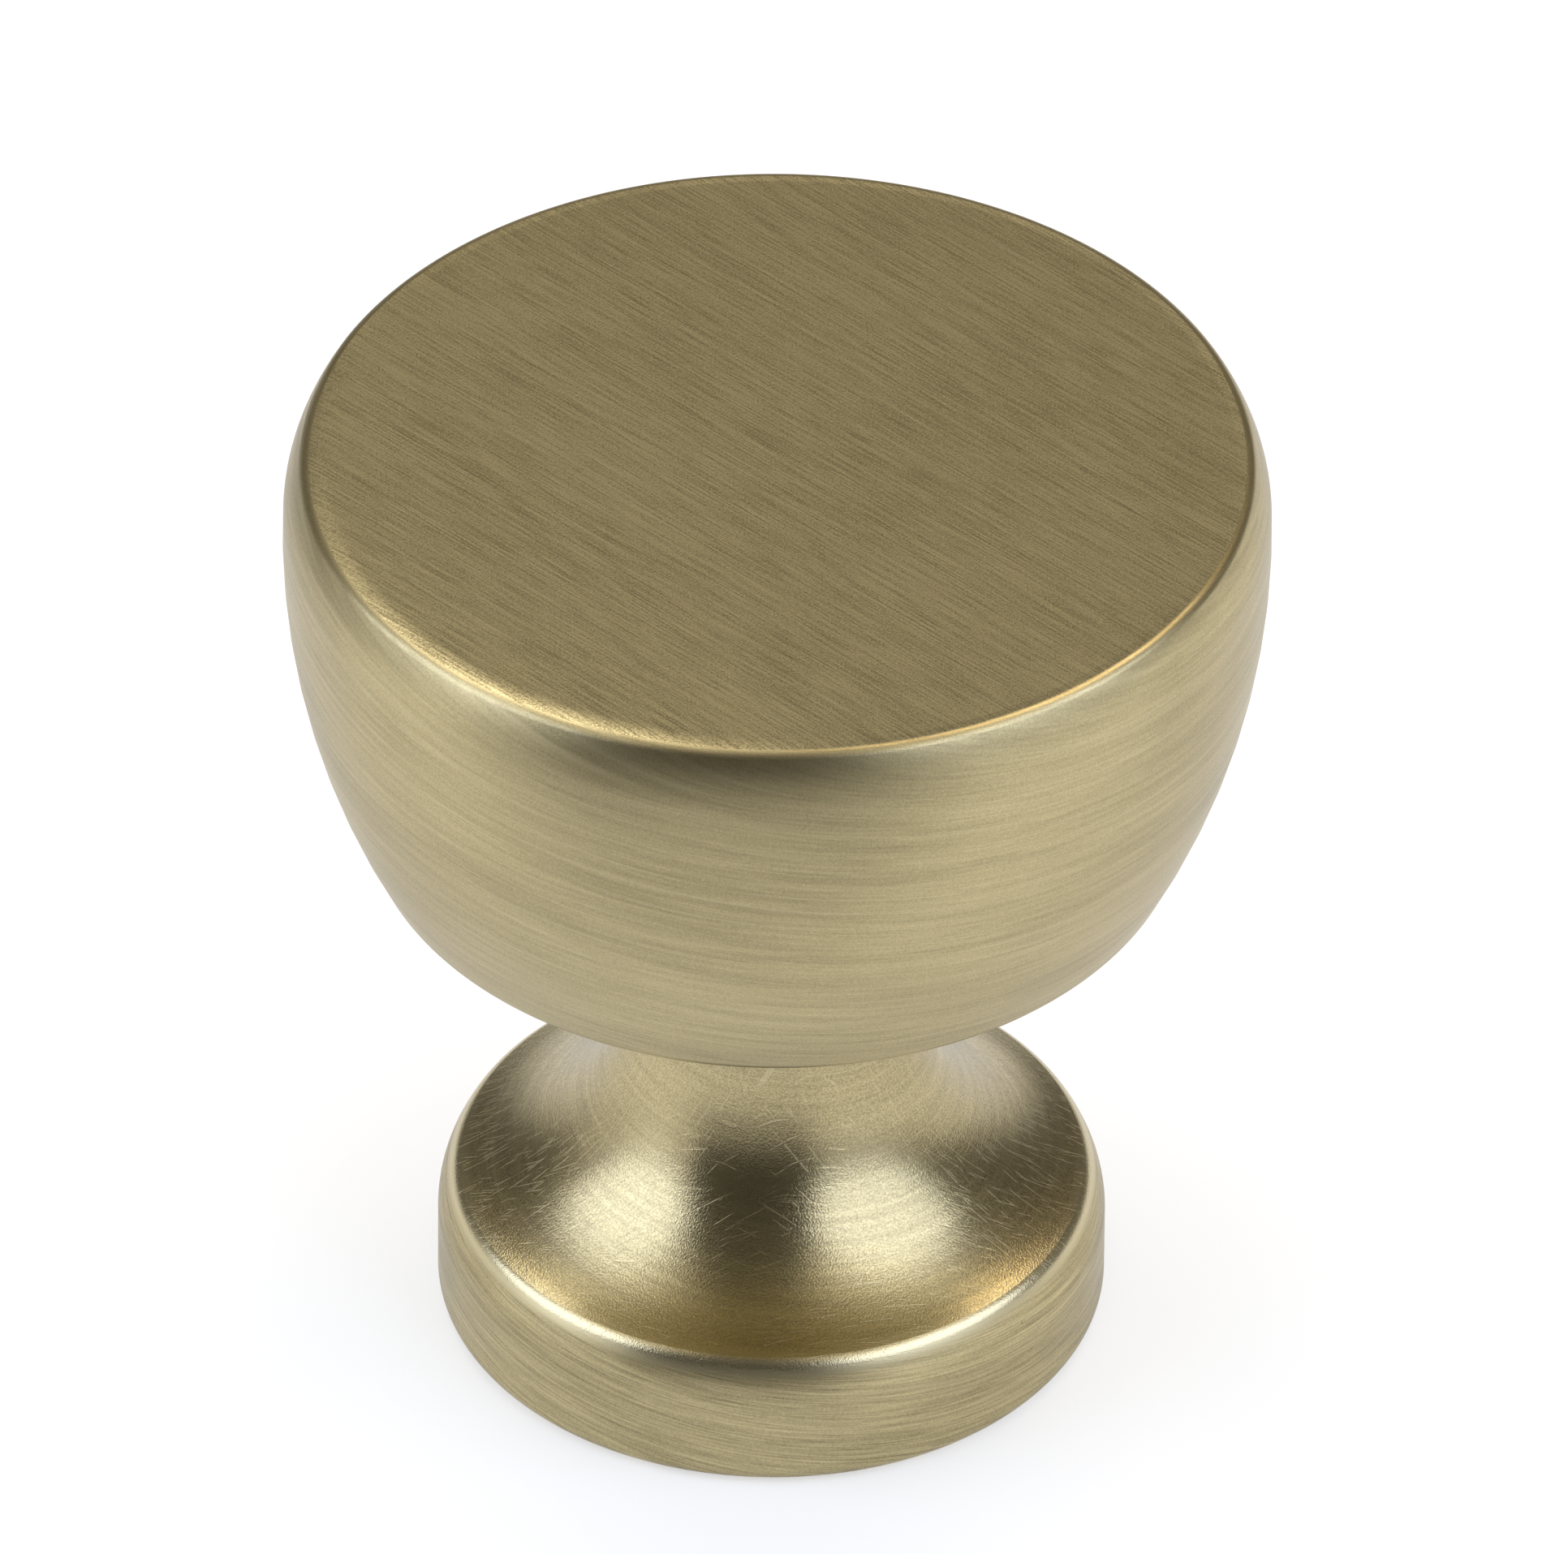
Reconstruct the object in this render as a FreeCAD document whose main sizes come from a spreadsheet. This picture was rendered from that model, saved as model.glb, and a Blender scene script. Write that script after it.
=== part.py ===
import FreeCAD, Part
import math
import os

import Sketcher

# A one-piece cabinet knob: a flat-topped, bowl-shaped head on a short neck that flares into a round foot.
# The knob's axis is Z. The foot stands on Z = 0, the door's face, and the head's flat top is upwards.

# Driving sizes, in millimetres and degrees
SIZES = [
    # name, value, what it measures
    ("knob_height", "31.75", "from the door's face to the flat top"),
    ("head_diameter", "30.0", "across the head at its widest"),
    ("head_depth", "13.95", "from the flat top down to the head's underside"),
    ("belly_drop", "2.75", "from the flat top down to the head's widest line"),
    ("side_radius", "24.3", "the long curve down the head's side"),
    ("shoulder_radius", "3.6", "where the side starts to turn in towards the flat top"),
    ("top_edge_radius", "0.36", "the small rounding at the rim of the flat top"),
    ("top_edge_inset", "0.8", "from the widest line in to the rim of the flat top"),
    ("lower_edge_radius", "0.8", "rounding between the side and the underside"),
    ("neck_diameter", "8.8", "the neck's straight part"),
    ("neck_root_radius", "2.0", "rounding between the neck and the underside"),
    ("flare_radius", "8.0", "the hollow curve from the neck out to the rim"),
    ("foot_diameter", "20.55", "across the foot's upright band"),
    ("rim_height", "4.5", "from the door's face to the rim where the flare ends"),
    ("rim_turn", "62.0", "how far the band rolls over before it meets the flare"),
    ("rim_radius", "0.65", "the tight end of the roll, next to the rim"),
    ("band_top_radius", "3.0", "the slow start of the roll, at the top of the band"),
    ("band_top_turn", "30.0", "how far the band rolls over on its slow radius"),
    ("foot_edge_radius", "0.6", "rounding at the foot of the band"),
    ("thread_diameter", "4.0", "outside diameter of the screw's thread"),
    ("thread_depth", "12.0", "from the door's face to the end of the screw hole's wall"),
    ("lead_in_diameter", "4.8", "mouth of the screw hole"),
    ("lead_in_angle", "90.0", "full angle of the screw hole's mouth"),
    ("drill_point_angle", "118.0", "full angle of the hole's blind end"),
]

# Sizes that follow from the sheet's
UNDERSIDE = "sizes.knob_height - sizes.head_depth"
SIDE_CENTRE = "sizes.side_radius - sizes.head_diameter / 2"
FLAT_RADIUS = "sizes.head_diameter / 2 - sizes.top_edge_inset"

ORIGIN = -1  # the sketch's own origin, as a geometry index
START, END, CENTRE = range(1, 4)  # the named points of a line or an arc
MATCH = 1e-3  # how near an edge lies to the place where it is looked for


def make_sheet(document):
    """The sheet of driving sizes, one named cell each."""
    sheet = document.addObject("Spreadsheet::Sheet", "sizes")
    for row, (name, value, meaning) in enumerate(SIZES, start=1):
        sheet.set(f"A{row}", name)
        sheet.set(f"B{row}", value)
        sheet.set(f"C{row}", meaning)
        sheet.setAlias(f"B{row}", name)
    document.recompute()
    return sheet


def plane_sketch(body, name, role):
    """A sketch of the body on one of its own origin planes."""
    plane = [feature for feature in body.Origin.OriginFeatures if feature.Role == role][0]
    sketch = body.newObject("Sketcher::SketchObject", name)
    sketch.AttachmentSupport = (plane, "")
    sketch.MapMode = "FlatFace"
    return sketch


def dimension(sketch, kind, name, expression, *places):
    """A named dimension of the sketch, tied to the sheet. An angle's expression is in degrees."""
    value = float(sketch.evalExpression(expression))
    if kind == "Angle":
        value = math.radians(value)
        expression = f"({expression}) * 1 deg"
    index = sketch.addConstraint(Sketcher.Constraint(kind, *places, value))
    sketch.renameConstraint(index, name)
    sketch.setExpression(f"Constraints.{name}", expression)


def line(sketch, start, end):
    """A line from one (radius, height) to another."""
    return sketch.addGeometry(Part.LineSegment(FreeCAD.Vector(*start), FreeCAD.Vector(*end)))


def arc(sketch, centre, radius, first, last):
    """An arc about a (radius, height), anticlockwise between two angles in degrees."""
    circle = Part.Circle(FreeCAD.Vector(*centre), FreeCAD.Vector(0, 0, 1), radius)
    return sketch.addGeometry(Part.ArcOfCircle(circle, math.radians(first), math.radians(last)))


def revolve(body, sketch):
    """A full turn of the sketch about the knob's axis."""
    turned = body.newObject("PartDesign::Revolution", f"{sketch.Name}_turned")
    turned.Profile = sketch
    turned.ReferenceAxis = (sketch, ["V_Axis"])
    turned.Angle = 360
    body.Document.recompute()
    return turned


def round_edge(body, name, radius_name, ring_radius, ring_height):
    """Rounds the circular edge of that radius and height."""
    base = body.Tip
    names = []
    for number, edge in enumerate(base.Shape.Edges, start=1):
        ring = edge.Curve
        if not isinstance(ring, Part.Circle):
            continue
        if abs(ring.Radius - ring_radius) < MATCH and abs(ring.Center.z - ring_height) < MATCH:
            names.append(f"Edge{number}")
    fillet = body.newObject("PartDesign::Fillet", name)
    fillet.Base = (base, names)
    fillet.setExpression("Radius", f"sizes.{radius_name}")
    body.Document.recompute()
    return fillet


def sketch_foot(body, size):
    """Half section of the foot, its flare and the neck, up to the head's underside."""
    foot_radius = size.foot_diameter / 2
    neck_radius = size.neck_diameter / 2
    underside = size.knob_height - size.head_depth
    edge = size.foot_edge_radius
    slow, tight = size.band_top_radius, size.rim_radius
    slow_turn, full_turn = math.radians(size.band_top_turn), math.radians(size.rim_turn)
    rise = (slow - tight) * math.sin(slow_turn) + tight * math.sin(full_turn)
    slow_centre = (foot_radius - slow, size.rim_height - rise)
    tight_centre = (slow_centre[0] + (slow - tight) * math.cos(slow_turn),
                    slow_centre[1] + (slow - tight) * math.sin(slow_turn))
    rim = tight_centre[0] + tight * math.cos(full_turn)
    reach = neck_radius + size.flare_radius - rim
    drop = math.sqrt(size.flare_radius ** 2 - reach ** 2)
    flare_centre = (rim + reach, size.rim_height + drop)
    flare_end = 180 + math.degrees(math.atan2(drop, reach))

    sketch = plane_sketch(body, "foot", "XZ_Plane")
    seat = line(sketch, (0, 0), (foot_radius - edge, 0))
    foot_edge = arc(sketch, (foot_radius - edge, edge), edge, -90, 0)
    band = line(sketch, (foot_radius, edge), (foot_radius, slow_centre[1]))
    band_top = arc(sketch, slow_centre, slow, 0, size.band_top_turn)
    rim_roll = arc(sketch, tight_centre, tight, size.band_top_turn, size.rim_turn)
    flare = arc(sketch, flare_centre, size.flare_radius, 180, flare_end)
    neck = line(sketch, (neck_radius, flare_centre[1]), (neck_radius, underside))
    neck_top = line(sketch, (neck_radius, underside), (0, underside))
    axis = line(sketch, (0, underside), (0, 0))

    sketch.addConstraint([
        Sketcher.Constraint("Coincident", seat, START, ORIGIN, START),
        Sketcher.Constraint("Tangent", seat, END, foot_edge, START),
        Sketcher.Constraint("Tangent", foot_edge, END, band, START),
        Sketcher.Constraint("Tangent", band, END, band_top, START),
        Sketcher.Constraint("Tangent", band_top, END, rim_roll, START),
        Sketcher.Constraint("Coincident", rim_roll, END, flare, END),
        Sketcher.Constraint("Tangent", flare, START, neck, START),
        Sketcher.Constraint("Coincident", neck, END, neck_top, START),
        Sketcher.Constraint("Coincident", neck_top, END, axis, START),
        Sketcher.Constraint("Coincident", axis, END, ORIGIN, START),
        Sketcher.Constraint("Horizontal", seat),
        Sketcher.Constraint("Vertical", band),
        Sketcher.Constraint("Vertical", neck),
        Sketcher.Constraint("Horizontal", neck_top),
        Sketcher.Constraint("Vertical", axis),
    ])
    dimension(sketch, "Radius", "foot_edge_radius", "sizes.foot_edge_radius", foot_edge)
    dimension(sketch, "Radius", "band_top_radius", "sizes.band_top_radius", band_top)
    dimension(sketch, "Radius", "rim_radius", "sizes.rim_radius", rim_roll)
    dimension(sketch, "Radius", "flare_radius", "sizes.flare_radius", flare)
    dimension(sketch, "Angle", "band_top_turn", "sizes.band_top_turn", band_top)
    dimension(sketch, "Angle", "rim_roll_turn", "sizes.rim_turn - sizes.band_top_turn", rim_roll)
    dimension(sketch, "DistanceX", "foot_radius", "sizes.foot_diameter / 2", ORIGIN, START, band, END)
    dimension(sketch, "DistanceX", "neck_radius", "sizes.neck_diameter / 2", ORIGIN, START, neck, END)
    dimension(sketch, "DistanceY", "rim_height", "sizes.rim_height", ORIGIN, START, rim_roll, END)
    dimension(sketch, "DistanceY", "underside", UNDERSIDE, ORIGIN, START, neck, END)
    return sketch


def sketch_head(body, size):
    """Half section of the head: flat underside, long side curve, shoulder and flat top."""
    height = size.knob_height
    underside = height - size.head_depth
    side_centre = (size.head_diameter / 2 - size.side_radius, height - size.belly_drop)

    lower_rise = underside + size.lower_edge_radius - side_centre[1]
    lower_run = math.sqrt((size.side_radius - size.lower_edge_radius) ** 2 - lower_rise ** 2)
    lower_centre = (side_centre[0] + lower_run, side_centre[1] + lower_rise)
    lower_angle = math.degrees(math.atan2(lower_rise, lower_run))

    # The shoulder touches the side and the small rounding from inside, which places its centre.
    flat_radius = size.head_diameter / 2 - size.top_edge_inset
    edge_centre = (flat_radius, height - size.top_edge_radius)
    from_side = size.side_radius - size.shoulder_radius
    from_edge = size.shoulder_radius - size.top_edge_radius
    apart = math.dist(side_centre, edge_centre)
    line_angle = math.atan2(edge_centre[1] - side_centre[1], edge_centre[0] - side_centre[0])
    side_corner = math.acos((from_side ** 2 + apart ** 2 - from_edge ** 2) / (2 * from_side * apart))
    touch = line_angle - side_corner
    shoulder_centre = (side_centre[0] + from_side * math.cos(touch),
                       side_centre[1] + from_side * math.sin(touch))
    upper_angle = math.degrees(touch)
    edge_angle = math.degrees(math.atan2(edge_centre[1] - shoulder_centre[1],
                                         edge_centre[0] - shoulder_centre[0]))

    sketch = plane_sketch(body, "head", "XZ_Plane")
    bottom = line(sketch, (0, underside), (lower_centre[0], underside))
    lower_edge = arc(sketch, lower_centre, size.lower_edge_radius, -90, lower_angle)
    side = arc(sketch, side_centre, size.side_radius, lower_angle, upper_angle)
    shoulder = arc(sketch, shoulder_centre, size.shoulder_radius, upper_angle, edge_angle)
    top_edge = arc(sketch, edge_centre, size.top_edge_radius, edge_angle, 90)
    top = line(sketch, (flat_radius, height), (0, height))
    axis = line(sketch, (0, height), (0, underside))

    sketch.addConstraint([
        Sketcher.Constraint("Tangent", bottom, END, lower_edge, START),
        Sketcher.Constraint("Tangent", lower_edge, END, side, START),
        Sketcher.Constraint("Tangent", side, END, shoulder, START),
        Sketcher.Constraint("Tangent", shoulder, END, top_edge, START),
        Sketcher.Constraint("Tangent", top_edge, END, top, START),
        Sketcher.Constraint("Coincident", top, END, axis, START),
        Sketcher.Constraint("Coincident", axis, END, bottom, START),
        Sketcher.Constraint("Horizontal", bottom),
        Sketcher.Constraint("Horizontal", top),
        Sketcher.Constraint("Vertical", axis),
        Sketcher.Constraint("Vertical", ORIGIN, START, axis, START),
    ])
    dimension(sketch, "Radius", "lower_edge_radius", "sizes.lower_edge_radius", lower_edge)
    dimension(sketch, "Radius", "side_radius", "sizes.side_radius", side)
    dimension(sketch, "Radius", "shoulder_radius", "sizes.shoulder_radius", shoulder)
    dimension(sketch, "Radius", "top_edge_radius", "sizes.top_edge_radius", top_edge)
    dimension(sketch, "DistanceX", "flat_radius", FLAT_RADIUS, ORIGIN, START, top, START)
    dimension(sketch, "DistanceX", "side_centre", SIDE_CENTRE, side, CENTRE, ORIGIN, START)
    dimension(sketch, "DistanceY", "belly_drop", "sizes.belly_drop", side, CENTRE, axis, START)
    dimension(sketch, "DistanceY", "head_depth", "sizes.head_depth", axis, END, axis, START)
    dimension(sketch, "DistanceY", "knob_height", "sizes.knob_height", ORIGIN, START, axis, START)
    return sketch


def bore_screw_hole(body, size):
    """The blind screw hole up the axis, opened out a little at its mouth."""
    sketch = plane_sketch(body, "screw_axis", "XY_Plane")
    circle = Part.Circle(FreeCAD.Vector(), FreeCAD.Vector(0, 0, 1), size.thread_diameter / 2)
    mouth = sketch.addGeometry(circle)
    sketch.addConstraint(Sketcher.Constraint("Coincident", mouth, CENTRE, ORIGIN, START))
    dimension(sketch, "Radius", "thread_radius", "sizes.thread_diameter / 2", mouth)
    body.Document.recompute()

    solid_volume = body.Shape.Volume
    hole = body.newObject("PartDesign::Hole", "screw_hole")
    hole.Profile = sketch
    hole.Reversed = True
    hole.ThreadType = 0
    hole.DepthType = "Dimension"
    hole.DrillPoint = "Angled"
    hole.HoleCutType = "Countersink"
    hole.setExpression("Diameter", "sizes.thread_diameter")
    hole.setExpression("Depth", "sizes.thread_depth")
    hole.setExpression("DrillPointAngle", "sizes.drill_point_angle * 1 deg")
    hole.setExpression("HoleCutDiameter", "sizes.lead_in_diameter")
    hole.setExpression("HoleCutCountersinkAngle", "sizes.lead_in_angle * 1 deg")
    body.Document.recompute()

    wall_volume = math.pi * (size.thread_diameter / 2) ** 2 * size.thread_depth
    if solid_volume - body.Shape.Volume < wall_volume:
        raise RuntimeError("the screw hole did not cut into the foot")


def make_knob(document, sheet):
    """The whole knob, one solid."""
    body = document.addObject("PartDesign::Body", "knob")
    body.Label = "knob"
    body.Placement = FreeCAD.Placement()

    revolve(body, sketch_foot(body, sheet))
    revolve(body, sketch_head(body, sheet))
    underside = sheet.knob_height - sheet.head_depth
    round_edge(body, "neck_root", "neck_root_radius", sheet.neck_diameter / 2, underside)
    bore_screw_hole(body, sheet)
    return body


def check(document, bodies):
    """Stops where a feature has failed or a body is not one sound solid."""
    for thing in document.Objects:
        if "Invalid" in thing.State or "Error" in thing.State:
            raise RuntimeError(f"{thing.Name} did not compute: {thing.State}")
    for body in bodies:
        shape = body.Shape
        if shape.isNull() or not shape.isValid() or len(shape.Solids) != 1:
            raise RuntimeError(f"{body.Label} is not one valid solid")


document = FreeCAD.newDocument("cabinet_knob")
bodies = [make_knob(document, make_sheet(document))]
document.recompute()
check(document, bodies)

os.makedirs("parts", exist_ok=True)
for body in bodies:
    body.Shape.exportStep(f"parts/{body.Label}.step")
    box = body.Shape.optimalBoundingBox()
    print(f"{body.Label}: {box.XLength:.3f} x {box.YLength:.3f} x {box.ZLength:.3f} mm,"
          f" {body.Shape.Volume / 1000:.3f} cubic centimetres")
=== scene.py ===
from math import acos, asin, atan2, cos, degrees, dist, hypot, pi, radians, sin, tan

import bmesh
import bpy
from mathutils import Matrix, Vector


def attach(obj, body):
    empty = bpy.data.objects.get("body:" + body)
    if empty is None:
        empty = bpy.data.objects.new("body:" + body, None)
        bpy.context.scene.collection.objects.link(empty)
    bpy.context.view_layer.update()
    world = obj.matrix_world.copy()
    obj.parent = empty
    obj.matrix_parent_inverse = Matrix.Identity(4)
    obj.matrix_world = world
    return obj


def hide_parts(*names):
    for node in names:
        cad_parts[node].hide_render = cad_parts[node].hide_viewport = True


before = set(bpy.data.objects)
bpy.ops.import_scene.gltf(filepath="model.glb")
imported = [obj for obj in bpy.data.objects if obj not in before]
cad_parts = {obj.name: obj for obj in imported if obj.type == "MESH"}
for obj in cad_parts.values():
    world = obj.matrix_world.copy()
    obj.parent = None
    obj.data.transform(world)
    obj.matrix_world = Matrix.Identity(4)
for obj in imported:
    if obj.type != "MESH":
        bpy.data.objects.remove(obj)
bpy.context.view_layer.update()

# The knob: one solid piece of brass, turned in a lathe from the flat top down to the foot, with a
# screw hole drilled up from below. Its half profile is drawn here as the turner would cut it, from
# the middle of the top round to the drill point, and is then turned about the knob's axis.
MM = 0.001
KNOB_HEIGHT = 31.75
HEAD_RADIUS = 15.0
HEAD_DEPTH = 13.95
BELLY_DROP = 2.75
SIDE_RADIUS = 24.3
SHOULDER_RADIUS = 3.6
TOP_EDGE_RADIUS = 0.36
TOP_EDGE_INSET = 0.8
LOWER_EDGE_RADIUS = 0.8
NECK_RADIUS = 4.4
NECK_ROOT_RADIUS = 2.0
FLARE_RADIUS = 8.0
FOOT_RADIUS = 10.275
RIM_HEIGHT = 4.5
RIM_TURN = radians(62)
RIM_RADIUS = 0.65
BAND_TOP_RADIUS = 3.0
BAND_TOP_TURN = radians(30)
FOOT_EDGE_RADIUS = 0.6
SCREW_RADIUS = 2.0
SCREW_DEPTH = 12.0
LEAD_IN_RADIUS = 2.4
DRILL_POINT_HALF_ANGLE = 59.0
WEAR_TURN = radians(55)
WEAR_HALF_SPAN = radians(60)
WEAR_WIDTH = 0.60
WEAR_SLOPE = 0.22
FLAT_RINGS = (0.25, 0.5, 0.75, 1)
WORN_RINGS = (0.8, 0.6, 0.4, 0.2, 0.1, 0)
EDGE_MARGIN = 0.15
TURNED_FACES = 256
CUT_ANGLE = 3.0
FEWEST_CUTS = 4
CREASE_ANGLE = 5.5
WELD = 1e-6

underside_z = KNOB_HEIGHT - HEAD_DEPTH
side_r = HEAD_RADIUS - SIDE_RADIUS
side_z = KNOB_HEIGHT - BELLY_DROP
top_edge_r = HEAD_RADIUS - TOP_EDGE_INSET
top_edge_z = KNOB_HEIGHT - TOP_EDGE_RADIUS
shoulder_reach = SIDE_RADIUS - SHOULDER_RADIUS
edge_reach = SHOULDER_RADIUS - TOP_EDGE_RADIUS
span = dist((side_r, side_z), (top_edge_r, top_edge_z))
span_cos = (shoulder_reach ** 2 + span ** 2 - edge_reach ** 2) / (2 * shoulder_reach * span)
shoulder_start = atan2(top_edge_z - side_z, top_edge_r - side_r) - acos(span_cos)
shoulder_r = side_r + shoulder_reach * cos(shoulder_start)
shoulder_z = side_z + shoulder_reach * sin(shoulder_start)
shoulder_end = atan2(top_edge_z - shoulder_z, top_edge_r - shoulder_r)
lower_edge_z = underside_z + LOWER_EDGE_RADIUS
lower_edge_turn = asin((side_z - lower_edge_z) / (SIDE_RADIUS - LOWER_EDGE_RADIUS))
lower_edge_r = side_r + (SIDE_RADIUS - LOWER_EDGE_RADIUS) * cos(lower_edge_turn)
neck_root_r = NECK_RADIUS + NECK_ROOT_RADIUS
neck_root_z = underside_z - NECK_ROOT_RADIUS
band_top_r = FOOT_RADIUS - BAND_TOP_RADIUS
roll_step = BAND_TOP_RADIUS - RIM_RADIUS
band_top_z = RIM_HEIGHT - roll_step * sin(BAND_TOP_TURN) - RIM_RADIUS * sin(RIM_TURN)
rim_roll_r = band_top_r + roll_step * cos(BAND_TOP_TURN)
rim_roll_z = band_top_z + roll_step * sin(BAND_TOP_TURN)
rim_r = rim_roll_r + RIM_RADIUS * cos(RIM_TURN)
flare_r = NECK_RADIUS + FLARE_RADIUS
flare_turn = acos((flare_r - rim_r) / FLARE_RADIUS)
flare_z = RIM_HEIGHT + FLARE_RADIUS * sin(flare_turn)
drill_point_z = SCREW_DEPTH + SCREW_RADIUS / tan(radians(DRILL_POINT_HALF_ANGLE))


def start_profile(name, r, z):
    """A new mesh of one selected point, in edit mode."""
    bpy.ops.object.select_all(action="DESELECT")
    bpy.ops.mesh.primitive_plane_add(size=MM, location=(0, 0, 0))
    piece = bpy.context.object
    piece.name = name
    piece.data.name = name
    bpy.ops.object.mode_set(mode="EDIT")
    bpy.ops.mesh.select_all(action="SELECT")
    bpy.ops.mesh.merge(type="CENTER")
    bpy.ops.transform.translate(value=(r * MM, 0, z * MM))
    return piece


def profile_end(piece):
    """Radius and height of the profile's last point, in millimetres."""
    last = [v.co for v in bmesh.from_edit_mesh(piece.data).verts if v.select][-1]
    return last.x / MM, last.z / MM


def cut_straight(piece, *places):
    """Straight cuts from the profile's end through these places."""
    for r, z in places:
        from_r, from_z = profile_end(piece)
        step = ((r - from_r) * MM, 0, (z - from_z) * MM)
        bpy.ops.mesh.extrude_region_move(TRANSFORM_OT_translate={"value": step})


def cut_round(centre_r, centre_z, turn):
    """A round cut about a centre: a positive turn makes a bulge, a negative one a hollow."""
    steps = max(FEWEST_CUTS, round(abs(degrees(turn)) / CUT_ANGLE))
    centre = (centre_r * MM, 0, centre_z * MM)
    bpy.ops.mesh.spin(steps=steps, angle=-turn, center=centre, axis=(0, 1, 0))


knob = start_profile("brass_knob", 0, KNOB_HEIGHT)
flat_rings = [share * (top_edge_r - WEAR_WIDTH) for share in FLAT_RINGS]
flat_rings += [top_edge_r - share * WEAR_WIDTH for share in WORN_RINGS]
cut_straight(knob, *[(r, KNOB_HEIGHT) for r in flat_rings])
cut_round(top_edge_r, top_edge_z, pi / 2 - shoulder_end)
cut_round(shoulder_r, shoulder_z, shoulder_end - shoulder_start)
cut_round(side_r, side_z, shoulder_start + lower_edge_turn)
cut_round(lower_edge_r, lower_edge_z, pi / 2 - lower_edge_turn)
cut_straight(knob, (lower_edge_r - EDGE_MARGIN, underside_z))
cut_straight(knob, (neck_root_r + EDGE_MARGIN, underside_z), (neck_root_r, underside_z))
cut_round(neck_root_r, neck_root_z, -pi / 2)
neck_support_z = (neck_root_z + flare_z) / 2
cut_straight(knob, (NECK_RADIUS, neck_support_z), (NECK_RADIUS, flare_z))
cut_round(flare_r, flare_z, -flare_turn)
cut_round(rim_roll_r, rim_roll_z, RIM_TURN - BAND_TOP_TURN)
cut_round(band_top_r, band_top_z, BAND_TOP_TURN)
cut_straight(knob, (FOOT_RADIUS, band_top_z - EDGE_MARGIN))
cut_straight(knob, (FOOT_RADIUS, FOOT_EDGE_RADIUS + EDGE_MARGIN), (FOOT_RADIUS, FOOT_EDGE_RADIUS))
cut_round(FOOT_RADIUS - FOOT_EDGE_RADIUS, FOOT_EDGE_RADIUS, pi / 2)
seat_edge_r = FOOT_RADIUS - FOOT_EDGE_RADIUS
cut_straight(knob, (seat_edge_r - EDGE_MARGIN, 0))
cut_straight(knob, (LEAD_IN_RADIUS + EDGE_MARGIN, 0), (LEAD_IN_RADIUS, 0))
lead_in_z = LEAD_IN_RADIUS - SCREW_RADIUS
cut_straight(knob, (SCREW_RADIUS, lead_in_z), (SCREW_RADIUS, SCREW_DEPTH), (0, drill_point_z))
bpy.ops.mesh.select_all(action="SELECT")
bpy.ops.mesh.spin(steps=TURNED_FACES, angle=2 * pi, center=(0, 0, 0), axis=(0, 0, 1))
bpy.ops.mesh.select_all(action="SELECT")
bpy.ops.mesh.remove_doubles(threshold=WELD)
bpy.ops.mesh.normals_make_consistent(inside=False)
bpy.ops.object.mode_set(mode="OBJECT")


def rubbed_off(x, y):
    """How much is rubbed off the top at this place, in millimetres."""
    out = hypot(x, y)
    on_flat = min(max(out - top_edge_r + WEAR_WIDTH, 0), WEAR_WIDTH)
    on_edge = min(max(out - top_edge_r, 0), TOP_EDGE_RADIUS)
    depth = on_flat ** 2 / (2 * WEAR_WIDTH) + on_edge - on_edge ** 2 / (2 * TOP_EDGE_RADIUS)
    from_middle = abs(atan2(-x, -y) - WEAR_TURN) / WEAR_HALF_SPAN
    share = max(0, cos(min(from_middle, 1) * pi / 2))
    return WEAR_SLOPE * depth * share * (2 - share)


# The rim of the flat is rubbed down by about a tenth of a millimetre at the front left, where it
# has worn soft.
worn = knob.vertex_groups.new(name="worn_rim")
for point in knob.data.vertices:
    if point.co.z > side_z * MM:
        worn.add([point.index], rubbed_off(point.co.x / MM, point.co.y / MM), "REPLACE")
rub = knob.modifiers.new("rub", "DISPLACE")
rub.direction = "Z"
rub.mid_level = 0
rub.strength = -MM
rub.vertex_group = worn.name
bpy.ops.object.modifier_apply(modifier="rub")
knob.vertex_groups.clear()

# The screw thread: a ridge that a tap cuts round the wall of the hole, M4 with a pitch of 0.7 mm.
# It is the same brass as the knob and part of the same piece, so it is joined to it.
THREAD_PITCH = 0.7
THREAD_CREST_RADIUS = 1.65
THREAD_ROOT_WIDTH = 0.6
THREAD_CREST_WIDTH = 0.1
THREAD_START = 0.8
THREAD_TURNS = 15
THREAD_STEPS = 96
THREAD_OVERLAP = 0.03

bpy.ops.object.select_all(action="DESELECT")
bpy.ops.mesh.primitive_plane_add(size=1, location=(0, 0, 0), rotation=(pi / 2, 0, 0))
thread = bpy.context.object
thread.name = "thread_ridge"
bpy.ops.object.transform_apply(location=True, rotation=True, scale=True)
ridge_depth = SCREW_RADIUS + THREAD_OVERLAP - THREAD_CREST_RADIUS
ridge_middle = (SCREW_RADIUS + THREAD_OVERLAP + THREAD_CREST_RADIUS) / 2
bpy.ops.object.mode_set(mode="EDIT")
bpy.ops.mesh.select_all(action="SELECT")
bpy.ops.transform.resize(value=(ridge_depth * MM, 1, THREAD_ROOT_WIDTH * MM))
bpy.ops.transform.translate(value=(ridge_middle * MM, 0, THREAD_START * MM))
bpy.ops.mesh.select_all(action="DESELECT")
bpy.ops.mesh.select_mode(type="VERT")
ridge = bmesh.from_edit_mesh(thread.data)
for corner in ridge.verts:
    corner.select = corner.co.x < ridge_middle * MM
ridge.select_flush(True)
bmesh.update_edit_mesh(thread.data)
crest_share = THREAD_CREST_WIDTH / THREAD_ROOT_WIDTH
bpy.ops.transform.resize(value=(1, 1, crest_share))
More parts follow.
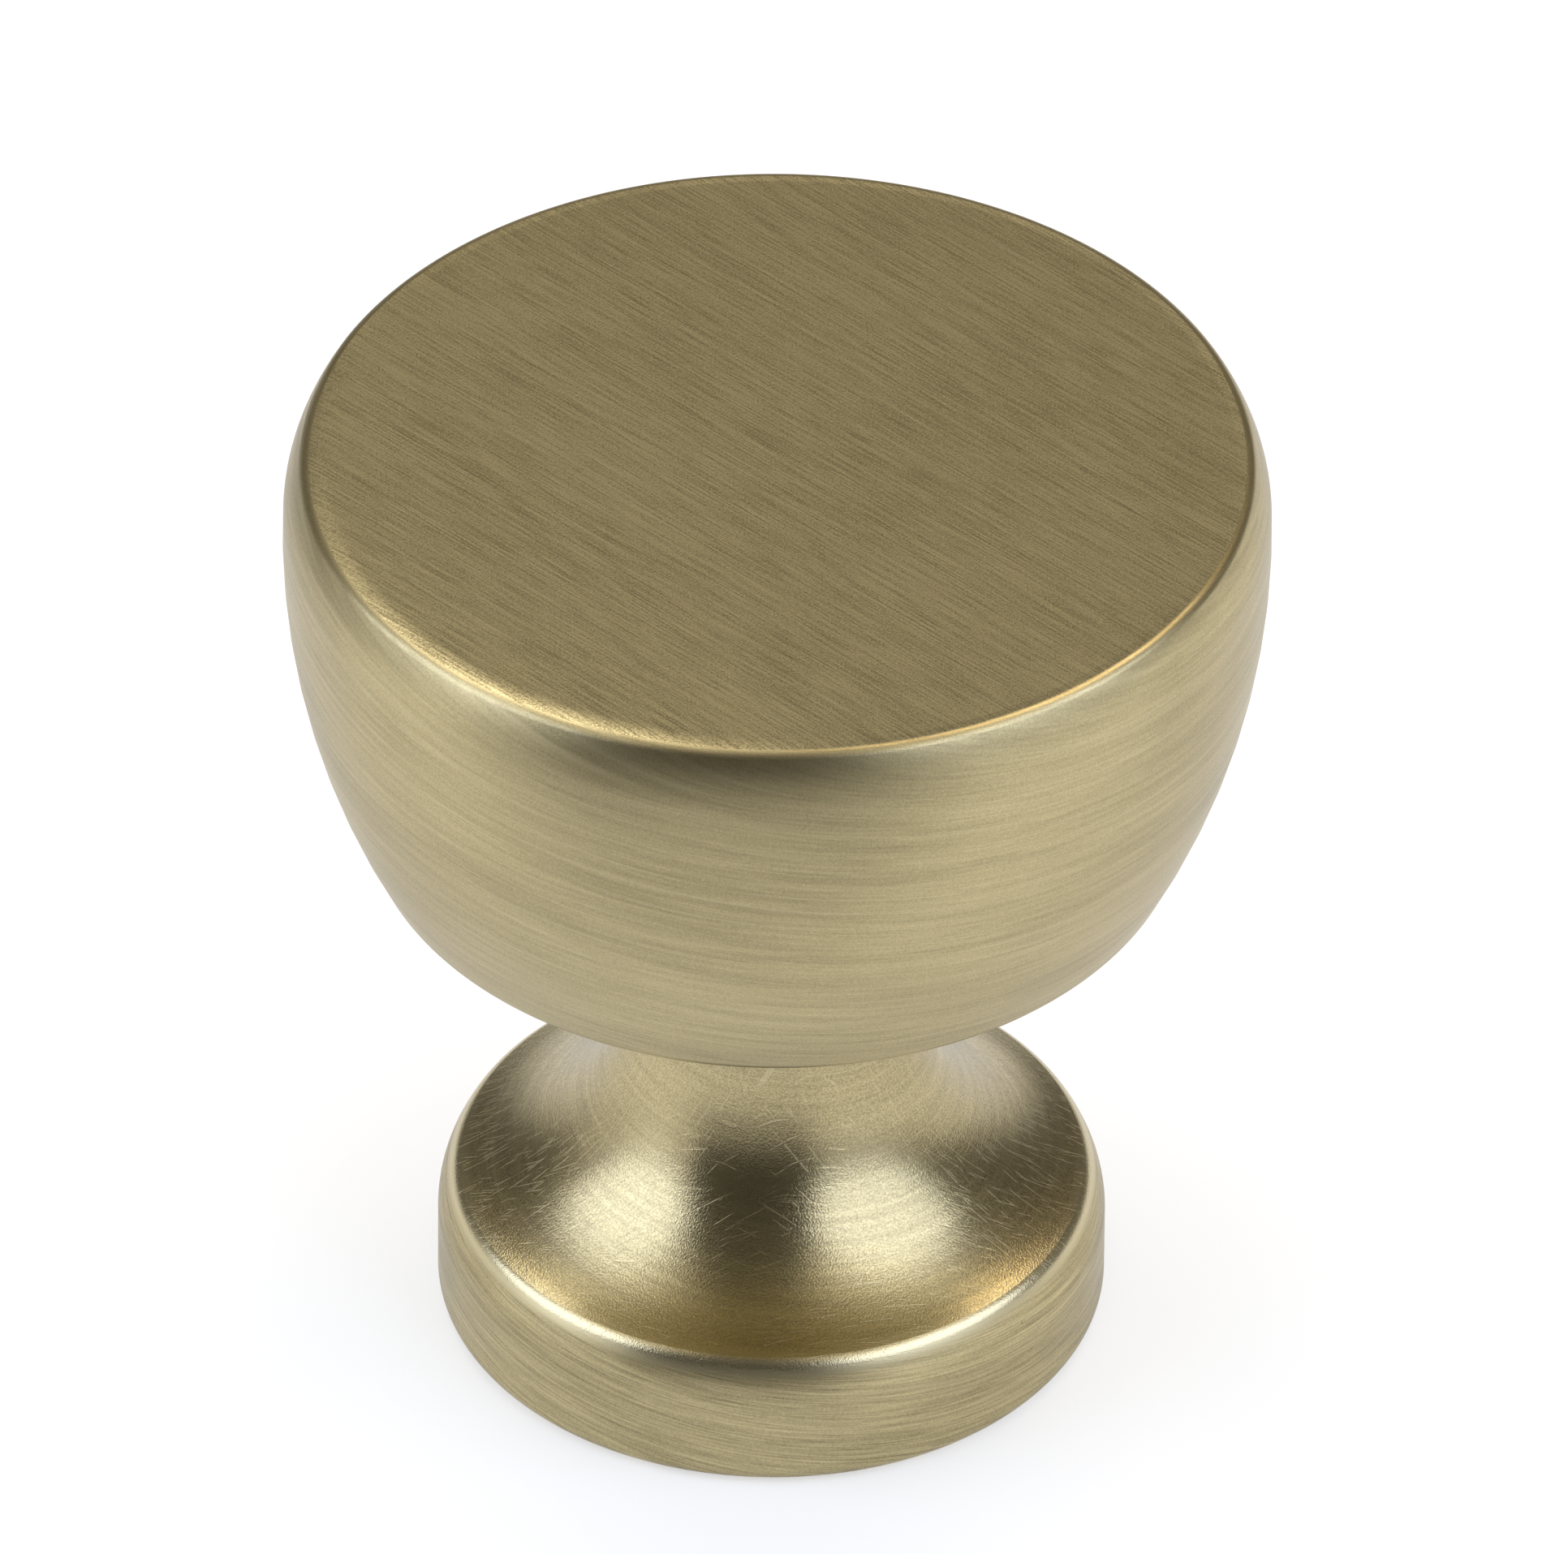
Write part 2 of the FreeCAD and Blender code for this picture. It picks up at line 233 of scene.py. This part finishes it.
bpy.ops.mesh.select_all(action="SELECT")
bpy.ops.mesh.delete(type="ONLY_FACE")
bpy.ops.object.mode_set(mode="OBJECT")
screw = thread.modifiers.new("pitch", "SCREW")
screw.axis = "Z"
screw.angle = 2 * pi
screw.screw_offset = THREAD_PITCH * MM
screw.iterations = THREAD_TURNS
screw.steps = THREAD_STEPS
screw.render_steps = THREAD_STEPS
bpy.ops.object.modifier_apply(modifier="pitch")
bpy.ops.object.mode_set(mode="EDIT")
bpy.ops.mesh.select_all(action="SELECT")
bpy.ops.mesh.fill_holes(sides=4)
bpy.ops.mesh.select_all(action="SELECT")
bpy.ops.mesh.normals_make_consistent(inside=False)
bpy.ops.object.mode_set(mode="OBJECT")
knob.select_set(True)
bpy.context.view_layer.objects.active = knob
bpy.ops.object.join()
bpy.ops.object.shade_smooth_by_angle(angle=radians(CREASE_ANGLE))

# The finish: bare brass with a satin lacquer, rubbed with fine abrasive. The flat top is brushed
# straight across, and the rest is brushed round and round in the lathe, the flare with the finest
# abrasive. Hairlines lie over broader drawn lines, with a few stray scratches, tiny pits and clouds.
BRASS_LIGHT = (0.665, 0.562, 0.316, 1)
BRASS_DEEP = (0.238, 0.200, 0.106, 1)
BRASS_EDGE = (0.87, 0.87, 0.90, 1)
BRASS_PALE_AND_HIGHLIGHT = (0.640, 0.560, 0.350, 1)
PIT_DARK = (0.200, 0.160, 0.085, 1)
HEAD_ROUGHNESS = 0.34
FLARE_ROUGHNESS = 0.24
BAND_ROUGHNESS = 0.33
ROUGHNESS_SPREAD = 0.08
ANISOTROPY = 0.5
QUARTER_TURN = 0.25
TOP_BRUSH_ANGLE = 137.0
TOP_MARGIN = 0.02
TOP_PATTERN_SHIFT = 50
FLARE_TOP = (13, 15)
FLARE_END = 0.5
BAND_SHADE_START = (0.6, 1.2)
HAIRLINE = (2.5, 0.065)
DRAWN_LINE = (7.0, 0.30)
GRIT = 0.06
CLOUD = (7.0, 2.6)
LONG_LINE = (9.0, 0.16)
LINE_SLANT = 0.15
NOISE_ROUGHNESS = 0.6
NOISE_RANGE = (0.3, 0.7)
LONG_LINE_RANGE = (0.68, 0.76)
SCRATCH_RANGE = (0.74, 0.80)
SCRATCH_WIDTH = 0.04
HAIRLINE_SHARE = 0.44
DRAWN_SHARE = 0.06
GRIT_SHARE = 0.42
CLOUD_SHARE = 0.06
LONG_LINE_SHARE = 0.2
SCRATCH_SHARE = 0.4
BAND_PAINTED_SHADE = -0.09
TOP_LINES = 1.0
SIDE_LINES = 0.25
FLARE_LINES = 0.15
BAND_LINES = 0.6
SIDE_GRIT = 0.3
FLARE_GRIT = 0.5
FLARE_GRIT_DEPTH = 0.0065
HAIRLINE_DEPTH = 0.005
GRIT_DEPTH = 0.0025
SCRATCH_DEPTH = 0.002
RIM_HIGHLIGHT_DROP = 0.2
RIM_HIGHLIGHT_HEIGHT = 0.35
RIM_HIGHLIGHT_CORE = 0.3
RIM_HIGHLIGHT_SHARE = 0.9
BURR_HEIGHT = 0.012
BURR_WIDTH = 0.25
BURR_ENDS = (0.5, 0.2)
PIT_SPACING = 1.3
PIT_SIZE = 0.03
PIT_RARITY = 0.7
PIT_SHARE = 0.7


class Graph:
    """The shader nodes of one material or world."""

    def __init__(self, owner):
        owner.use_nodes = True
        self.tree = owner.node_tree
        self.tree.nodes.clear()

    def put(self, socket, value):
        """Link a socket to another, or set it to a value."""
        if isinstance(value, bpy.types.NodeSocket):
            self.tree.links.new(value, socket)
        elif value is not None:
            socket.default_value = value

    def node(self, kind, *inputs, **settings):
        """A node with its settings and its first inputs."""
        made = self.tree.nodes.new("ShaderNode" + kind)
        for setting, value in settings.items():
            setattr(made, setting, value)
        for place, value in enumerate(inputs):
            self.put(made.inputs[place], value)
        return made

    def number(self, operation, *inputs, clamp=False):
        """One step of arithmetic on numbers."""
        return self.node("Math", *inputs, operation=operation, use_clamp=clamp).outputs[0]

    def vector(self, operation, *inputs):
        """One step of arithmetic on vectors that gives a vector."""
        return self.node("VectorMath", *inputs, operation=operation).outputs[0]

    def measure(self, operation, *inputs):
        """One step of arithmetic on vectors that gives a number."""
        return self.node("VectorMath", *inputs, operation=operation).outputs[1]

    def choose(self, kind, share, first, second):
        """The first where the share is 0, and the second where it is 1."""
        made = self.node("Mix", data_type=kind)
        sockets = {"FLOAT": (0, 2, 3, 0), "VECTOR": (0, 4, 5, 1), "RGBA": (0, 6, 7, 2)}[kind]
        for place, value in zip(sockets, (share, first, second)):
            self.put(made.inputs[place], value)
        return made.outputs[sockets[3]]

    def ramp(self, value, low, high, at_low=0.0, at_high=1.0):
        """A value's range from low to high, stretched from one number to another."""
        return self.node("MapRange", value, low, high, at_low, at_high).outputs[0]

    def noise(self, place, size, detail, seed):
        """Noise with cells of this size in millimetres along each axis."""
        stretch = [1 / (length * MM) for length in size]
        scaled = self.vector("MULTIPLY_ADD", place, stretch, (seed, seed, seed))
        made = self.node("TexNoise", scaled)
        made.inputs["Scale"].default_value = 1.0
        made.inputs["Detail"].default_value = detail
        made.inputs["Roughness"].default_value = NOISE_ROUGHNESS
        return made.outputs[0]


brass = bpy.data.materials.new("brushed_brass")
look = Graph(brass)
place = look.node("TexCoord").outputs["Object"]
x, y, z = look.node("SeparateXYZ", place).outputs
radius = look.measure("LENGTH", look.node("CombineXYZ", x, y, 0.0).outputs[0])
near_top = look.number("GREATER_THAN", z, (KNOB_HEIGHT - TOP_EDGE_RADIUS) * MM)
on_top = look.number("LESS_THAN", radius, (top_edge_r + TOP_MARGIN) * MM)
on_top = look.number("MULTIPLY", on_top, near_top)
on_head = look.number("GREATER_THAN", z, neck_support_z * MM)
shoulder_top_r = shoulder_r + SHOULDER_RADIUS * cos(shoulder_end)
shoulder_top_z = shoulder_z + SHOULDER_RADIUS * sin(shoulder_end)
above_shoulder = look.number("GREATER_THAN", z, shoulder_top_z * MM)

# Distance along the profile, near enough: it grows down the foot, up the head and over the edge.
reach = look.number("SUBTRACT", radius, NECK_RADIUS * MM)
folded = look.number("SUBTRACT", 2 * (shoulder_top_r - NECK_RADIUS) * MM, reach)
outward = look.choose("FLOAT", above_shoulder, reach, folded)
sideways = look.choose("FLOAT", on_head, look.number("MULTIPLY", reach, -1.0), outward)
along_profile = look.number("ADD", z, sideways)
slanted = look.number("MULTIPLY_ADD", x, LINE_SLANT, along_profile)
turned = look.node("CombineXYZ", x, y, slanted).outputs[0]
brush = radians(TOP_BRUSH_ANGLE)
along_brush = look.measure("DOT_PRODUCT", place, (cos(brush), sin(brush), 0))
across_brush = look.measure("DOT_PRODUCT", place, (-sin(brush), cos(brush), 0))
straight = look.node("CombineXYZ", along_brush, TOP_PATTERN_SHIFT * MM, across_brush).outputs[0]
brushed = look.choose("VECTOR", on_top, turned, straight)



def lines(size, detail, seed):
    """Noise of this length and width along the brushing."""
    length, width = size
    return look.noise(brushed, (length, length, width), detail, seed)


grit = look.noise(place, (GRIT, GRIT, GRIT), detail=1.0, seed=43.7)
hairlines = lines(HAIRLINE, detail=2.0, seed=3.1)
drawn_lines = lines(DRAWN_LINE, detail=0.0, seed=11.7)
clouds = lines(CLOUD, detail=0.0, seed=23.9)
long_lines = look.ramp(lines(LONG_LINE, detail=0.0, seed=31.3), *LONG_LINE_RANGE)


def scratches(turn, tilt, length, seed):
    """Sparse straight scratches across the brushing, in a direction of their own."""
    way = Matrix.Rotation(radians(turn), 3, "Z") @ Matrix.Rotation(radians(tilt), 3, "Y")
    parts = [look.measure("DOT_PRODUCT", place, way.col[axis]) for axis in range(3)]
    spot = look.node("CombineXYZ", *parts).outputs[0]
    return look.ramp(look.noise(spot, (length, SCRATCH_WIDTH, length), 0.0, seed), *SCRATCH_RANGE)


on_flare = look.ramp(z, FLARE_TOP[0] * MM, FLARE_TOP[1] * MM, 1.0, 0.0)
above_rim = look.ramp(z, (RIM_HEIGHT - FLARE_END) * MM, RIM_HEIGHT * MM)
on_flare = look.number("MULTIPLY", on_flare, above_rim)
stray = scratches(turn=15, tilt=10, length=1.3, seed=5.3)
stray = look.number("MAXIMUM", stray, scratches(turn=-20, tilt=-15, length=1.1, seed=9.1))
stray = look.number("MAXIMUM", stray, scratches(turn=5, tilt=25, length=1.5, seed=14.9))
stray = look.number("MULTIPLY", stray, on_flare)
pit_cells = look.node("TexVoronoi", place)
pit_cells.inputs["Scale"].default_value = 1 / (PIT_SPACING * MM)
in_middle = look.number("LESS_THAN", pit_cells.outputs["Distance"], PIT_SIZE)
in_few = look.number("GREATER_THAN", pit_cells.outputs["Color"], PIT_RARITY)
pits = look.number("MULTIPLY", in_middle, in_few)

lines_here = look.choose("FLOAT", on_head, BAND_LINES, SIDE_LINES)
lines_here = look.choose("FLOAT", on_flare, lines_here, FLARE_LINES)
lines_here = look.choose("FLOAT", on_top, lines_here, TOP_LINES)
tone = look.ramp(hairlines, *NOISE_RANGE, -HAIRLINE_SHARE, HAIRLINE_SHARE)
tone = look.number("MULTIPLY_ADD", tone, lines_here, 0.5)
grit_here = look.choose("FLOAT", on_flare, SIDE_GRIT, FLARE_GRIT)
grit_here = look.choose("FLOAT", on_top, grit_here, 1.0)
grit_tone = look.ramp(grit, *NOISE_RANGE, -GRIT_SHARE, GRIT_SHARE)
tone = look.number("MULTIPLY_ADD", grit_tone, grit_here, tone)
for noise, share in ((drawn_lines, DRAWN_SHARE), (clouds, CLOUD_SHARE)):
    tone = look.number("ADD", tone, look.ramp(noise, *NOISE_RANGE, -share, share))
# Painted shade: the band round the foot is made a little darker, standing in for the shaded table it
# mirrors beside the foot.
painted_band_shade = look.ramp(z, (RIM_HEIGHT - BAND_SHADE_START[0]) * MM, (RIM_HEIGHT - BAND_SHADE_START[1]) * MM)
tone = look.number("MULTIPLY_ADD", painted_band_shade, BAND_PAINTED_SHADE, tone)
colour = look.choose("RGBA", tone, BRASS_DEEP, BRASS_LIGHT)
long_bright = look.number("MULTIPLY", long_lines, LONG_LINE_SHARE)
bright_line = look.number("MAXIMUM", long_bright, look.number("MULTIPLY", stray, SCRATCH_SHARE))
colour = look.choose("RGBA", bright_line, colour, BRASS_PALE_AND_HIGHLIGHT)
# Painted highlight: a paler band round the foot's rim roll, where the softboxes' highlight falls on
# it.
from_rim = look.number("ABSOLUTE", look.number("SUBTRACT", z, (RIM_HEIGHT - RIM_HIGHLIGHT_DROP) * MM))
rim_painted_highlight = look.ramp(from_rim, RIM_HIGHLIGHT_HEIGHT * MM, RIM_HIGHLIGHT_CORE * RIM_HIGHLIGHT_HEIGHT * MM, 0.0, RIM_HIGHLIGHT_SHARE)
colour = look.choose("RGBA", rim_painted_highlight, colour, BRASS_PALE_AND_HIGHLIGHT)
colour = look.choose("RGBA", look.number("MULTIPLY", pits, PIT_SHARE), colour, PIT_DARK)
rough = look.choose("FLOAT", on_head, BAND_ROUGHNESS, HEAD_ROUGHNESS)
rough = look.choose("FLOAT", on_flare, rough, FLARE_ROUGHNESS)
smoother = look.number("MULTIPLY_ADD", tone, -ROUGHNESS_SPREAD, ROUGHNESS_SPREAD / 2)
rough = look.number("ADD", rough, smoother)

# The relief of the scratches, the lines and the grit between them, in millimetres.
height = look.number("MULTIPLY", stray, -SCRATCH_DEPTH)
line_depth = look.number("MULTIPLY", lines_here, HAIRLINE_DEPTH)
height = look.number("MULTIPLY_ADD", hairlines, line_depth, height)
grit_depth = look.choose("FLOAT", on_flare, GRIT_DEPTH, FLARE_GRIT_DEPTH)
height = look.number("MULTIPLY_ADD", grit, grit_depth, height)

# The brush left a low burr round the flat's rim, which is gone where the rim is worn.
worn_way = (-sin(WEAR_TURN) / (top_edge_r * MM), -cos(WEAR_TURN) / (top_edge_r * MM), 0)
worn_side = look.measure("DOT_PRODUCT", place, worn_way)
burr = look.number("MULTIPLY", look.ramp(worn_side, *BURR_ENDS), BURR_HEIGHT)
near_rim = look.ramp(radius, (top_edge_r - BURR_WIDTH) * MM, top_edge_r * MM)
burr = look.number("MULTIPLY", burr, near_rim)
height = look.number("ADD", height, burr)
relief = look.node("Bump")
relief.inputs["Strength"].default_value = 1.0
relief.inputs["Distance"].default_value = MM
look.put(relief.inputs["Height"], height)
round_brush = look.vector("NORMALIZE", look.vector("CROSS_PRODUCT", (0, 0, 1), place))
brush_way = look.choose("VECTOR", on_top, round_brush, (cos(brush), sin(brush), 0))
world_way = look.node("VectorTransform", brush_way, vector_type="VECTOR")
world_way.convert_from = "OBJECT"
world_way.convert_to = "WORLD"
metal = look.node("BsdfPrincipled")
metal.inputs["Metallic"].default_value = 1.0
metal.inputs["Specular Tint"].default_value = BRASS_EDGE
metal.inputs["Anisotropic"].default_value = ANISOTROPY
metal.inputs["Anisotropic Rotation"].default_value = QUARTER_TURN
look.put(metal.inputs["Base Color"], colour)
look.put(metal.inputs["Roughness"], rough)
look.put(metal.inputs["Normal"], relief.outputs[0])
look.put(metal.inputs["Tangent"], world_way.outputs[0])
look.node("OutputMaterial", metal.outputs[0])

knob.data.materials.clear()
knob.data.materials.append(brass)
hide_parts("knob")
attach(knob, "root")

# The table: a wide sheet of white board that the knob stands on, which the metal also mirrors.
# The camera and the metal see it half lit by the lamps, with their shadows, and half plain white.
# Away from the lamps its colour and glow are darkened with painted shade: in front of the picture's
# edge, and far off at the back left.
TABLE_WIDTH = 8.0
TABLE_GAP = 0.00001
TABLE_WHITE = 0.93
OWN_LIGHT = 0.5
SHADE = 0.66
SHADE_WAY = (-0.26, -0.97, 0)
SHADE_SIDES = (0.55, 0.92)
SHADE_REACH = (20 * MM, 90 * MM)
FAR_SHADE = 0.65
FAR_SHADE_WAY = (-0.78, 0.63, 0)
FAR_SHADE_SIDES = (0.6, 0.9)
FAR_SHADE_REACH = (75 * MM, 160 * MM)

bpy.ops.object.select_all(action="DESELECT")
bpy.ops.mesh.primitive_plane_add(size=TABLE_WIDTH, location=(0, 0, -TABLE_GAP))
table = bpy.context.object
table.name = "table"
board = bpy.data.materials.new("white_board")
paint = Graph(board)
ray = paint.node("LightPath").outputs
seen = paint.number("ADD", ray["Is Camera Ray"], ray["Is Glossy Ray"])
seen = paint.number("ADD", seen, ray["Is Transmission Ray"], clamp=True)
spot = paint.node("TexCoord").outputs["Object"]
away = paint.measure("LENGTH", spot)
bearing = paint.vector("NORMALIZE", spot)
in_front = paint.ramp(paint.measure("DOT_PRODUCT", bearing, SHADE_WAY), *SHADE_SIDES)
at_back = paint.ramp(paint.measure("DOT_PRODUCT", bearing, FAR_SHADE_WAY), *FAR_SHADE_SIDES)
near_shade = paint.number("MULTIPLY", in_front, paint.ramp(away, *SHADE_REACH, 0.0, SHADE))
far_shade = paint.number("MULTIPLY", at_back, paint.ramp(away, *FAR_SHADE_REACH, 0.0, FAR_SHADE))
lit = paint.number("SUBTRACT", 1.0, paint.number("ADD", near_shade, far_shade))
pale = paint.node("CombineColor", *[paint.number("MULTIPLY", lit, TABLE_WHITE)] * 3).outputs[0]
matt = paint.node("BsdfDiffuse", pale).outputs[0]
white = paint.node("Emission", (1, 1, 1, 1), lit).outputs[0]
glow_share = paint.number("MULTIPLY", seen, OWN_LIGHT)
mixed = paint.node("MixShader", glow_share, matt, white).outputs[0]
paint.node("OutputMaterial", mixed)
table.data.materials.append(board)

# The studio: an oval softbox close on each side and two lights high up at the back, in a room hung
# with dark cloth nearly to the table. The hangings are not lit but glow at set levels, a painted
# reflection of the room; the cloth overhead at the sides glows bright, painted light standing in for
# the softboxes' light falling on it.
KNOB_MIDDLE = Vector((0, 0, 14 * MM))
SOFTBOX_DISTANCE = 0.4
SOFTBOX_LIGHT = 1.62
BACK_LIGHT_DISTANCE = 0.6
BACK_LIGHT = 2.62
SOFTBOX_COLOUR = (0.90, 1.0, 1.24)
BACK_LEFT_COLOUR = (1.05, 1.0, 0.90)
BACK_RIGHT_COLOUR = (1.22, 1.0, 0.70)
ROOM_LIGHT = 0.75
CLOTH_DISTANCE = 1.6
CLOTH_FACES = 120
CLOTH_GLOW_COLOUR = (1.0, 0.95, 0.85, 1)


def lamp(name, azimuths, elevations, distance, light, colour):
    """An oval lamp that fills these azimuths and elevations as the knob sees it."""
    middle_azimuth = sum(azimuths) / 2
    middle_elevation = sum(elevations) / 2
    width = (azimuths[1] - azimuths[0]) * cos(radians(middle_elevation))
    oval = bpy.data.lights.new(name, "AREA")
    oval.shape = "ELLIPSE"
    oval.size = 2 * distance * tan(radians(width / 2))
    oval.size_y = 2 * distance * tan(radians((elevations[1] - elevations[0]) / 2))
    oval.energy = light * pi * oval.size * oval.size_y
    oval.color = colour
    hung = bpy.data.objects.new(name, oval)
    bpy.context.scene.collection.objects.link(hung)
    around = radians(middle_azimuth)
    up = radians(middle_elevation)
    way = Vector((sin(around) * cos(up), -cos(around) * cos(up), sin(up)))
    hung.location = KNOB_MIDDLE + way * distance
    hung.rotation_euler = way.to_track_quat("Z", "Y").to_euler()
    hung.visible_camera = False


lamp("softbox_left", azimuths=(-110, -48), elevations=(11, 54),
     distance=SOFTBOX_DISTANCE, light=SOFTBOX_LIGHT, colour=SOFTBOX_COLOUR)
lamp("softbox_right", azimuths=(23, 98), elevations=(13, 55),
     distance=SOFTBOX_DISTANCE, light=SOFTBOX_LIGHT, colour=SOFTBOX_COLOUR)
lamp("light_back_left", azimuths=(189, 241), elevations=(48, 73),
     distance=BACK_LIGHT_DISTANCE, light=BACK_LIGHT, colour=BACK_LEFT_COLOUR)
lamp("light_back_right", azimuths=(119, 171), elevations=(48, 73),
     distance=BACK_LIGHT_DISTANCE, light=BACK_LIGHT, colour=BACK_RIGHT_COLOUR)


def cloth(name, azimuths, elevations, glow_levels):
    """A curved hanging between these azimuths and elevations, seen only as the metal mirrors it,
    glowing from the low edge to the high one at these levels: a painted reflection.
    """
    low, high = (CLOTH_DISTANCE * tan(radians(e)) for e in elevations)
    bpy.ops.object.select_all(action="DESELECT")
    bpy.ops.mesh.primitive_cylinder_add(
        vertices=CLOTH_FACES, radius=CLOTH_DISTANCE, depth=high - low, end_fill_type="NOTHING",
        location=(0, 0, (low + high) / 2))
    hanging = bpy.context.object
    hanging.name = name
    bpy.ops.object.transform_apply(location=True, rotation=True, scale=True)
    bpy.ops.object.mode_set(mode="EDIT")
    bpy.ops.mesh.select_all(action="DESELECT")
    weave = bmesh.from_edit_mesh(hanging.data)
    middle = radians(sum(azimuths) / 2)
    towards = Vector((sin(middle), -cos(middle), 0))
    half_span = radians(azimuths[1] - azimuths[0]) / 2
    for face in weave.faces:
        across = face.calc_center_median()
        across.z = 0
        face.select = across.angle(towards) > half_span
    bmesh.update_edit_mesh(hanging.data)
    bpy.ops.mesh.delete(type="FACE")
    bpy.ops.object.mode_set(mode="OBJECT")
    hanging.location = KNOB_MIDDLE
    hanging.visible_camera = False
    hanging.visible_diffuse = False
    hanging.visible_shadow = False
    fabric = bpy.data.materials.new(name)
    shade = Graph(fabric)
    level_above = shade.node("SeparateXYZ", shade.node("TexCoord").outputs["Object"]).outputs[2]
    elevation = shade.number("ARCTAN2", level_above, CLOTH_DISTANCE)
    level = shade.ramp(elevation, radians(elevations[0]), radians(elevations[1]), *glow_levels)
    glow = shade.node("Emission", CLOTH_GLOW_COLOUR, level).outputs[0]
    shade.node("OutputMaterial", glow)
    hanging.data.materials.append(fabric)


cloth("cloth_front", azimuths=(-48, 24), elevations=(2, 88), glow_levels=(0.02, 0.20))
cloth("cloth_back", azimuths=(120, 240), elevations=(4, 88), glow_levels=(0.12, 0.30))
cloth("cloth_left", azimuths=(-120, -48), elevations=(9, 52), glow_levels=(0.30, 0.30))
cloth("cloth_right", azimuths=(24, 120), elevations=(5, 52), glow_levels=(0.12, 0.34))
cloth("painted_light_high_left", azimuths=(-120, -48), elevations=(52, 88), glow_levels=(1.20, 0.60))
cloth("painted_light_high_right", azimuths=(24, 120), elevations=(52, 88), glow_levels=(1.25, 0.55))

room = bpy.data.worlds.new("pale_room")
bpy.context.scene.world = room
air = Graph(room)
ray = air.node("LightPath").outputs
seen = air.number("ADD", ray["Is Camera Ray"], ray["Is Glossy Ray"])
seen = air.number("ADD", seen, ray["Is Transmission Ray"], clamp=True)
walls = air.node("Background", (1, 1, 1, 1), air.ramp(seen, 0.0, 1.0, ROOM_LIGHT, 1.0)).outputs[0]
air.node("OutputWorld", walls)

# The camera: a long lens a metre away, looking down on the knob at 38 degrees, so that the knob
# looks nearly as in a drawing with no perspective.
CAMERA_DISTANCE = 1.0
CAMERA_ELEVATION = 38.45
PICTURE_WIDTH = 1932
PIXELS_PER_METRE = 40262.0
SENSOR_WIDTH = 36.0
AIM_RIGHT = 0.27 * MM
AIM_UP = 4.337 * MM
CAMERA_ROLL = 0.5

look_up = radians(CAMERA_ELEVATION)
from_knob = Vector((0, -cos(look_up), sin(look_up)))
picture_up = Vector((0, sin(look_up), cos(look_up)))
picture_right = Vector((1, 0, 0))
lens = bpy.data.cameras.new("camera")
lens.sensor_width = SENSOR_WIDTH
lens.lens = SENSOR_WIDTH * PIXELS_PER_METRE * CAMERA_DISTANCE / PICTURE_WIDTH
camera = bpy.data.objects.new("camera", lens)
bpy.context.scene.collection.objects.link(camera)
camera.location = KNOB_MIDDLE + from_knob * CAMERA_DISTANCE
aim = KNOB_MIDDLE + picture_right * AIM_RIGHT + picture_up * AIM_UP
facing = (camera.location - aim).to_track_quat("Z", "Y").to_matrix()
facing = facing @ Matrix.Rotation(radians(CAMERA_ROLL), 3, "Z")
camera.rotation_euler = facing.to_euler()
lens.clip_start = 0.05
lens.clip_end = 50
bpy.context.scene.camera = camera
bpy.context.scene.view_settings.view_transform = "Standard"
